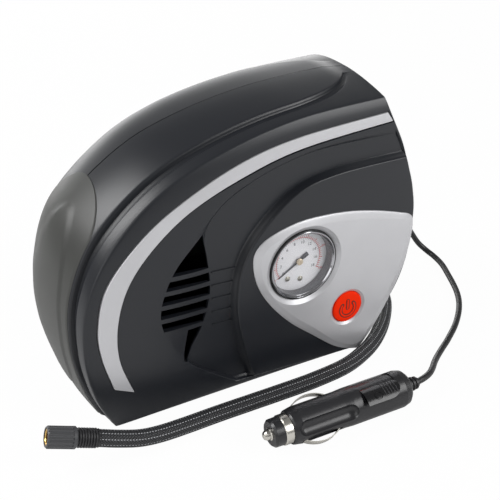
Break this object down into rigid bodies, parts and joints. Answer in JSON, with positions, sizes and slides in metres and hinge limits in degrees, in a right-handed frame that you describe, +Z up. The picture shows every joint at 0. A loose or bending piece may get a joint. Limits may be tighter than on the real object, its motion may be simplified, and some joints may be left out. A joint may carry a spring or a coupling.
{
  "type": "portable tire inflator",
  "caption": "Free-standing 12 V air compressor with a rounded charcoal case, a pressure gauge and power button on a silver panel, a braided air hose and a cord with a lighter-socket plug",
  "frame": {"origin": "middle of the case's box in X and Y, on the ground it stands on; the hose, the cord and what is on them are left out", "axes": "+X along the case to the end wall with the leads, -Y out of the gauge face, +Z up"},
  "size_m": [0.3656, 0.1845, 0.1927],
  "materials": {
    "front_shell": "satin charcoal, fine moulded texture",
    "rear_shell": "satin charcoal, fine moulded texture",
    "nose_cover": "smoky grey, slightly clear",
    "silver_trim": "satin silver paint over plastic",
    "black_plastic": "satin black",
    "plug_plastic": "half-gloss black",
    "knob_plastic": "dark grey, fluted",
    "clear_lens": "clear moulded lens",
    "dial_face": "printed dial",
    "needle": "painted dark",
    "red_button": "satin red-orange",
    "zinc_steel": "bright zinc plate",
    "pressed_steel": "plain pressed steel",
    "contact_metal": "nickel plate",
    "brass": "turned brass",
    "gear_plastic": "natural acetal",
    "cast_alloy": "die-cast, unpainted",
    "seal_rubber": "soft, plain",
    "black_rubber": "soft vinyl",
    "braid": "woven sleeve over a rubber hose",
    "led_red": "clear red"
  },
  "bodies": {
    "inflator": {"front_shell": "front_shell", "rear_shell": "rear_shell", "nose_cover": "nose_cover", "trim_strip": "silver_trim", "control_panel": "silver_trim", "gauge_case": "black_plastic", "gauge_rim": "black_plastic", "gauge_lens": "clear_lens", "gauge_dial": "dial_face", "switch_body": "black_plastic", "case_screws": "zinc_steel", "pump_frame": "pressed_steel", "frame_screws": "zinc_steel", "motor_can": "pressed_steel", "motor_end_cap": "black_plastic", "motor_terminals": "contact_metal", "motor_screws": "zinc_steel", "crank_bush": "brass", "pump_cylinder": "cast_alloy", "cylinder_head": "cast_alloy", "head_screws": "zinc_steel", "air_tube": "seal_rubber", "gauge_tube": "seal_rubber", "hose_gland": "black_plastic", "cord_gland": "black_rubber", "air_hose": "braid", "hose_collar": "black_plastic", "power_cord": "black_rubber", "plug_relief": "black_rubber", "plug_body": "plug_plastic", "plug_led": "led_red", "plug_ring": "contact_metal", "plug_nose": "plug_plastic"},
    "needle": {"gauge_needle": "needle"},
    "button": {"power_button": "red_button"},
    "rotor": {"motor_shaft": "zinc_steel", "pinion": "brass", "cooling_fan": "black_plastic"},
    "crank": {"drive_gear": "gear_plastic", "crank_shaft": "zinc_steel", "crank_pin": "zinc_steel"},
    "piston": {"connecting_rod": "cast_alloy", "piston_seal": "seal_rubber", "seal_plate": "cast_alloy"},
    "connector": {"chuck_knob": "knob_plastic", "chuck_insert": "brass", "chuck_seal": "black_rubber"},
    "centre_pin": {"plug_pin": "contact_metal", "plug_fuse": "contact_metal"},
    "side_contact_front": {"plug_contact_front": "contact_metal"},
    "side_contact_rear": {"plug_contact_rear": "contact_metal"}
  },
  "joints": [
    {"name": "needle_turn", "type": "hinge", "parent": "inflator", "child": "needle", "pos_m": [0.0344, -0.04665, 0.085], "axis": [0, 1, 0], "range_deg": [0, 270], "stiffness_Nm_per_rad": 0.0001, "springref_deg": -17.19},
    {"name": "button_press", "type": "slide", "parent": "inflator", "child": "button", "axis": [0, 1, 0], "range_m": [0, 0.0025], "stiffness_N_per_m": 500, "springref_m": -0.001},
    {"name": "crank_spin", "type": "hinge", "parent": "inflator", "child": "crank", "pos_m": [0.0404, 0.01535, 0.061], "axis": [1, 0, 0], "continuous": true},
    {"name": "rotor_spin", "type": "hinge", "parent": "inflator", "child": "rotor", "pos_m": [0.0404, 0.01535, 0.092], "axis": [1, 0, 0], "continuous": true},
    {"name": "piston_stroke", "type": "slide", "parent": "inflator", "child": "piston", "axis": [0, 0, 1], "range_m": [-0.016, 0]},
    {"name": "connector_turn", "type": "hinge", "parent": "inflator", "child": "connector", "pos_m": [-0.1206, -0.06715, 0.0153], "axis": [-0.9413, 0.2018, 0.2706], "continuous": true},
    {"name": "centre_pin_press", "type": "slide", "parent": "inflator", "child": "centre_pin", "axis": [0.9996, -0.0297, 0], "range_m": [0, 0.0025], "stiffness_N_per_m": 800, "springref_m": -0.001},
    {"name": "front_contact_press", "type": "slide", "parent": "inflator", "child": "side_contact_front", "axis": [0.0246, 0.8287, 0.5592], "range_m": [0, 0.0015], "stiffness_N_per_m": 600, "springref_m": -0.0005},
    {"name": "rear_contact_press", "type": "slide", "parent": "inflator", "child": "side_contact_rear", "axis": [-0.0246, -0.8287, -0.5592], "range_m": [0, 0.0015], "stiffness_N_per_m": 600, "springref_m": -0.0005}
  ],
  "couplings": [
    {"joint": "rotor_spin", "follows": "crank_spin", "ratio": -4.1667}
  ]
}
